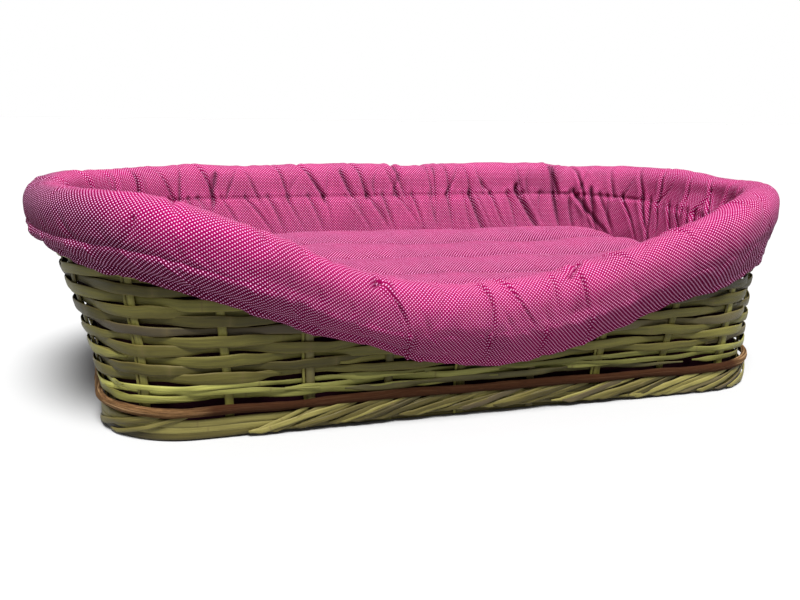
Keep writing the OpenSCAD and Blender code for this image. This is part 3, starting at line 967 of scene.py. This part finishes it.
def liner():
    """The padded panel: skirt, roll over the rim, and inner wall, in one piece."""
    t, R = station, rim_z(station)
    points, way, seam_at = liner_section(t)
    n = normals_of(points)
    below = ease((way - seam_at) / 0.01)
    s = along_rim(t)
    v = way / 0.05
    soft = round_noise(t, 0.060, v * 0.8, 3, way / 0.055 * 0.8)
    small = round_noise(t, 0.026, v * 1.7, 4, -way / 0.03)
    ruck = round_noise(t, 0.014, v, 7)
    near_out = np.exp(-way / 0.012)
    near_in = np.exp(-np.abs(way - seam_at) / mix(0.012, 0.020, below))
    push = 0.0024 * soft + 0.0008 * small + 0.0007 * ruck * (near_out + near_in)
    lines = gathers(61, seam_at, 0.040, 0.062, -0.35, 0.0036, 0.0017, side=-1)
    lines += gathers(65, seam_at, 0.060, 0.042, 0.45, 0.0028, 0.0016, side=-1)
    lines += gathers(62, seam_at, 0.022, 0.046, -0.50, 0.0028, 0.0018)
    lines += gathers(63, 0.0, 0.033, 0.020, -0.5, 0.0016, 0.0022)
    lines += gathers(64, 0.055, 0.110, 0.040, 0.6, 0.0016, 0.0040, side=-1)
    lines += [(along_rim(k[0]), *k[1:]) for k in DIP_FOLDS + BACK_FOLDS]
    deep = crease_lines(s, way, lines)
    seam = np.exp(-((way - seam_at) / 0.0017) ** 2)
    # painted shade in the folds and along the inner seam: at the back the folds darken the cloth
    # less, and deepen the print's ground instead
    inner = ease((way - 0.045) / 0.02) * ease((np.abs(wrapped(t)) - 0.5) / 0.1)
    fold = np.maximum(ease((deep - 0.0007) / 0.0034) * (1 - 0.55 * inner), 0.25 * seam ** 2)
    push -= 1.35 * deep + 0.0022 * seam
    push *= 1 - 0.5 * ease((way - seam_at - 0.08) / 0.05)
    push *= 0.2 + 0.8 * ease(way / 0.010)
    points = points + n * push[..., None]
    # painted shade: the print's ground is darker below the rim, on the left end and in the back's
    # folds
    left = 0.75 * ease((-points[..., 0] - 0.30) / 0.09)
    under = (under_shade(t, points[..., 2]) + left) * ease((0.060 - way) / 0.02)
    under = under + 0.8 * inner * ease(deep / 0.0030)
    # the far left end is turned away from the light
    far_left = ease((-points[..., 0] - 0.335) / 0.07) * ease((R + 0.010 - points[..., 2]) / 0.03)
    fold = np.maximum(fold, 0.45 * far_left * ease((0.045 - way) / 0.01))
    obj = cloth_object("liner_cover_padded", points, cloth_uv(way), "liner",
                       ["liner_cover", "liner_wadding"], fold=fold, under=under)
    return points


def liner_backing():
    """The side of the liner that lies on the wicker and bridges the rim."""
    t = station[::3]
    R, low = rim_z(t), LINER_LOW
    points, way = surface(t, [
        knot(-0.0215, low, low - 0.0006), knot(-0.0085, low, low - 0.0006),
        knot(-0.0078, mix(low, R, 0.5), mix(low, R, 0.5)), knot(-0.0076, R, R - 0.004),
        knot(-0.0066, R, R + 0.0030), knot(0.0, R, R + 0.0052), knot(0.0068, R, R + 0.0030),
        knot(0.0082, R, R - 0.004), knot(0.0094, R, R - 0.020),
        knot(0.0178 * thin_at_ends(t)[0], R, R - outer_seam(t)),
    ], 60)
    # slack in the lining: shallow creases that run down from the rim
    slack = crease(round_noise(t, 0.045, way / 0.09, 51, way / 0.12), 2.4)
    slack = slack * ease(way / 0.02) * ease((way[-1] - 0.06 - way) / 0.03)
    points = points - unit(normals_of(points)) * (0.0022 * slack)[..., None]
    # the near-black cloth is painted shade: it darkens the gaps in the weave, where the back of the
    # liner gets little light
    obj = cloth_object("liner_backing_cloth", points, cloth_uv(way + 0.5), "liner", [], painted_shade_backing)


def hem():
    """The gathered band under the skirt, folded round its elastic."""
    t, R, low = station, rim_z(station), hem_z(station)
    top = R - outer_seam(t)
    thin = thin_at_ends(t)[0]
    smooth = hangs_smooth(t)
    points, way = surface(t, [
        knot(mix(0.0206, 0.0214, smooth) * thin, R, top + 0.0022),
        knot(mix(0.0226, 0.0202, smooth) * thin, R, top - 0.004),
        knot(mix(0.0185, 0.0172, smooth) * thin, mix(R, low, 0.5), mix(top, low, 0.5)),
        knot(0.0128, low + 0.009, low + 0.009), knot(0.0122, low + 0.003, low + 0.003),
        knot(0.0090, low, low), knot(0.0058, low + 0.002, low + 0.002),
        knot(0.0052, low + 0.008, low + 0.008),
    ], 30)
    n = normals_of(points)
    end = way[-1]
    down = way / 0.03
    ruck = round_noise(t, 0.0085, down * 0.5, 21, way / 0.03)
    broad = round_noise(t, 0.026, down * 0.6, 22, -way / 0.05)
    pinch = crease(round_noise(t, 0.016, down * 0.4, 23, way / 0.05), 2.4)
    low_part = ease(way / (0.7 * end))
    push = 0.0010 * ruck + 0.0014 * broad - 0.0012 * pinch * low_part
    push += -0.0005 * crease(round_noise(t, 0.021, 0 * way, 6), 2.6) * np.exp(-way / 0.008)
    s = along_rim(t)
    pleats = gathers(66, 0.0, 0.030, 0.022, 0.9, 0.0014, 0.0022)
    folds = [(along_rim(k[0]) + k[2] * k[3], 0.0, 0.045, 0.12, 0.0, k[5], k[6])
             for k in DIP_FOLDS[:HEM_FOLDS]]
    deep = crease_lines(s, way, folds + pleats)
    push -= 1.2 * deep
    push *= 1 - ease((way - 0.75 * end) / (0.25 * end))
    push *= 0.2 + 0.8 * ease(way / 0.008)
    points = points + n * push[..., None]
    # painted shade in the hem's folds and pleats
    fold = 0.8 * ease((deep - 0.0010) / 0.0030)
    edge = 0.0008 * round_noise(t, 0.04, 0 * way, 25) + 0.0002 * round_noise(t, 0.011, 0 * way, 26)
    points[..., 2] += edge * low_part
    # painted shade on the print's ground, by how far the hem hangs below the rim
    under = under_shade(t, points[..., 2])
    obj = cloth_object("liner_hem_gathered", points, cloth_uv(way + 0.4), "liner",
                       ["liner_hem_casing"], fold=fold, under=under)


liner_points = liner()
liner_backing()
hem()


STITCH, STITCH_GAP, STITCH_THICK = 0.0030, 0.0012, 0.0004


def stitches(name, line, outward, material, body):
    """A row of single stitches along a line, each a small bar lying on the cloth."""
    step = np.linalg.norm(np.diff(line, axis=0, append=line[:1]), axis=1)
    far = np.concatenate([[0], np.cumsum(step)])
    count = int(far[-1] / (STITCH + STITCH_GAP))
    line, outward = np.concatenate([line, line[:1]]), np.concatenate([outward, outward[:1]])
    along = np.array([0.0, 0.15, 0.5, 0.85, 1.0]) * STITCH / (STITCH + STITCH_GAP)
    lift = np.array([-0.3, 0.5, 0.9, 0.5, -0.3])[:, None] * STITCH_THICK * 0.6
    row = Splints()
    for i in range(count):
        place = (i + along) / count * far[-1]
        p, o = (np.stack([np.interp(place, far, values[:, k]) for k in range(3)], -1)
                for values in (line, outward))
        row.add(p + unit(o) * lift, unit(o), STITCH_THICK, STITCH_THICK, 0.5,
                section=ROUND[::2])
    row.build(name, material, [], "cotton_print", body)


thread = plain_material("thread_pink", (0.23, 0.012, 0.075), 0.7)
stitches("liner_inner_stitches", liner_points[SEAM_ROW], normals_of(liner_points)[SEAM_ROW],
         thread, "liner")


# ---- the cushion and the liner's floor ----


CUSHION_SIDE = 0.0255     # the cushion's side, in from the wall
CUSHION_EDGE = 0.098      # height of the seam round its top
CUSHION_CROWN = 0.1375    # height of the middle of its top
CUSHION_COLUMNS = 560
CHANNEL_STEP = 0.085
CHANNEL_DEPTH = 0.0170


def past_channel(x, y):
    """Signed distance past the nearest of the wavy sewn lines that run lengthwise."""
    wave = 0.007 * np.sin(x / 0.075) + 0.003 * np.sin(x / 0.024 + y / 0.05)
    place = (y + wave) / CHANNEL_STEP
    return (place - np.round(place)) * CHANNEL_STEP


def cushion_top(rim):
    """The crowned top with its channels, from the middle out to the rim."""
    f = np.linspace(0.012, 1, 120)[:, None]
    xy = rim[None] * f[..., None]
    x, y = xy[..., 0], xy[..., 1]
    crown = CUSHION_CROWN - 0.004 * f ** 2 + 0.008 * ease(y / 0.14)
    fall = np.clip((f - 0.86) / 0.14, 0, 1)
    z = mix(CUSHION_EDGE, crown, np.sqrt(np.clip(1 - fall ** 2.2, 0, 1)))
    past = past_channel(x, y)
    near = np.abs(past)
    groove = CHANNEL_DEPTH * np.exp(-(near / 0.016) ** 1.3)
    puff = 0.0016 * noise(x / 0.050 + 20, y / 0.040 + 20, 31)
    puff += 0.0003 * noise(x / 0.016 + 40, y / 0.02 + 9, 32)
    tuck = crease(noise(x / 0.022 + 30 + y / 0.05, y / 0.06 + 30, 33), 2.6)
    tuck = 0.0024 * tuck * np.exp(-near / 0.012)
    inside = ease((1 - f) / 0.1)
    z = z + (puff - groove - tuck) * inside
    # painted shade along the channels and in the tucks
    fold = (0.8 * np.exp(-near / 0.0035) + 110 * tuck) * inside
    # painted shade: a little all over the top, more at each channel; each channel's shading reaches
    # further on its back side
    under = 0.18 + 0.55 * np.exp(-near / np.where(past > 0, 0.017, 0.005)) * inside
    return np.stack([x, y, z], -1), fold, under


def cushion_sides(t, rim, outward):
    """The sides, which follow the wall of the basket down to the underside."""
    g = np.linspace(0, 1, 26)[1:, None]
    on_side = on_wall(t[None], -CUSHION_SIDE, mix(CUSHION_EDGE, CUSHION_LOW, g))
    level = mix(rim[None], on_side[..., :2], ease(g / 0.5)[..., None])
    points = np.concatenate([level, on_side[..., 2:]], -1)
    bulge = 0.004 * np.sin(np.pi * g) - 0.010 * ease((g - 0.8) / 0.2)
    # soft dents, and short gathers below the seam at the edge
    s = (t + 1) / 2 * 260
    dents = 0.0016 * noise(s / 11, 3 * g + 5, 34)
    gather = crease(noise(s / 2.2 + 2 * g, 2.5 * g + 9, 35), 2.2) * np.exp(-g / 0.25)
    bulge = bulge + (dents - 0.0020 * gather) * ease((1 - g) / 0.3) * ease(g / 0.08)
    # the second value is painted shade: a little all over the sides, more in the gathers
    return points + outward * bulge[..., None], 0.14 + 0.5 * gather


def cushion():
    """A padded mattress with sewn channels: crowned top, full sides, flat underside."""
    t = np.linspace(-1, 1, CUSHION_COLUMNS, endpoint=False)
    rim = on_wall(t, -CUSHION_SIDE, 0.075)[:, :2]
    outward = unit(np.pad(rim, ((0, 0), (0, 1))))
    top, fold, under_top = cushion_top(rim)
    sides, under_sides = cushion_sides(t, rim, outward)
    points = np.concatenate([top, sides])
    fold = np.concatenate([fold, 0 * under_sides])
    step = np.linalg.norm(np.diff(points, axis=0), axis=2)
    far = np.concatenate([np.zeros((1, CUSHION_COLUMNS)), np.cumsum(step, 0)])
    uv = outward[:, :2] * (far + 0.012 * np.linalg.norm(rim, axis=1))[..., None]
    obj = cloth_object("cushion_top_padded", points, np.concatenate([uv, uv[:, :1]], 1),
                       "cushion", ["cushion_top_panel", "cushion_filling"], fold=fold,
                       under=np.concatenate([under_top, under_sides]), centre_row=0)
    stitches("cushion_seam_stitches", points[len(top)], outward, thread, "cushion")
    cushion_bottom(points[-1])


def cushion_bottom(edge):
    """The flat underside, from the lowest ring of the sides in to the middle."""
    shrink = np.linspace(1, 0.02, 30)
    points = np.stack([edge * (k, k, 1) - (0, 0, 0.0004) for k in shrink])
    uv = np.concatenate([points[..., :2], points[:, :1, :2]], 1)
    obj = cloth_object("cushion_bottom_sewn", points, uv, "cushion", ["cushion_bottom_panel"],
                       centre_row=len(points) - 1)


cushion()


def liner_floor():
    """The fabric floor under the cushion, thin and lightly rucked."""
    t = np.linspace(-1, 1, 420, endpoint=False)
    rim = on_wall(t, -0.0180, 0.0172)[:, :2]
    xy = rim * np.linspace(1, 0.01, 70)[:, None, None]
    x, y = xy[..., 0], xy[..., 1]
    z = 0.0170 + 0.0004 * noise(x / 0.05 + 20, y / 0.04 + 20, 41)
    uv = np.concatenate([xy, xy[:, :1]], 1)
    obj = cloth_object("liner_base_cloth", np.stack([x, y, z], -1), uv, "liner",
                       ["liner_base_panel"], centre_row=len(xy) - 1)


liner_floor()


def elastic():
    """The cord in the hem's channel."""
    ring = Splints()
    t = np.linspace(-1, 1, 700, endpoint=False)
    low = hem_z(t)
    line = on_wall(t, 0.0080, low + 0.0036)
    outward = on_wall(t, 0.02, low + 0.0034) - line
    ring.add(line, unit(outward), 0.0026, 0.0026, 0.5, section=ROUND, closed=True)
    ring.build("liner_elastic_cord", plain_white, ["liner_elastic"], "elastic", "liner")


elastic()


# ---- the floor, the light and the camera ----

mesh = bpy.data.meshes.new("floor")
mesh.from_pydata([(-8, -8, 0), (8, -8, 0), (8, 8, 0), (-8, 8, 0)], [], [(0, 1, 2, 3)])
floor = bpy.data.objects.new("floor", mesh)
bpy.context.scene.collection.objects.link(floor)
mesh.materials.append(plain_material("floor_paint", (0.33, 0.33, 0.33), 0.9))

world = bpy.data.worlds.new("studio")
world.use_nodes = True
sky = Graph(world.node_tree)
height = sky.parts(sky.node("ShaderNodeTexCoord").outputs["Generated"])[2]
shade = sky.ramp(height, [(0.0, (1, 1, 1)), (0.10, (1, 1, 1)), (0.22, (0.25, 0.25, 0.26)),
                          (1.0, (0.50, 0.50, 0.52))])
world.node_tree.links.new(shade, world.node_tree.nodes["Background"].inputs["Color"])
world.node_tree.nodes["Background"].inputs["Strength"].default_value = 1.0
bpy.context.scene.world = world


def sun(name, came_from, strength, angle):
    data = bpy.data.lights.new(name, "SUN")
    data.energy = strength
    data.angle = math.radians(angle)
    obj = bpy.data.objects.new(name, data)
    obj.rotation_euler = (-Vector(came_from)).to_track_quat("-Z", "Y").to_euler()
    bpy.context.scene.collection.objects.link(obj)


sun("soft_overhead", (-0.04, -0.48, 1.0), 9.4, 26)

CAMERA_AT = Vector((-0.3522, -0.9947, 0.3217))
CAMERA_LOOK = Vector((0.30447, 0.92550, -0.22529))
CAMERA_ROLL = math.radians(1.18)
camera_data = bpy.data.cameras.new("camera")
camera_data.sensor_width = 36
camera_data.lens = 40.98
camera = bpy.data.objects.new("camera", camera_data)
camera.location = CAMERA_AT
level = CAMERA_LOOK.to_track_quat("-Z", "Y").to_matrix()
camera.rotation_euler = (level @ Matrix.Rotation(CAMERA_ROLL, 3, "Z")).to_euler()
bpy.context.scene.collection.objects.link(camera)
bpy.context.scene.camera = camera

bpy.context.scene.view_settings.view_transform = "Standard"
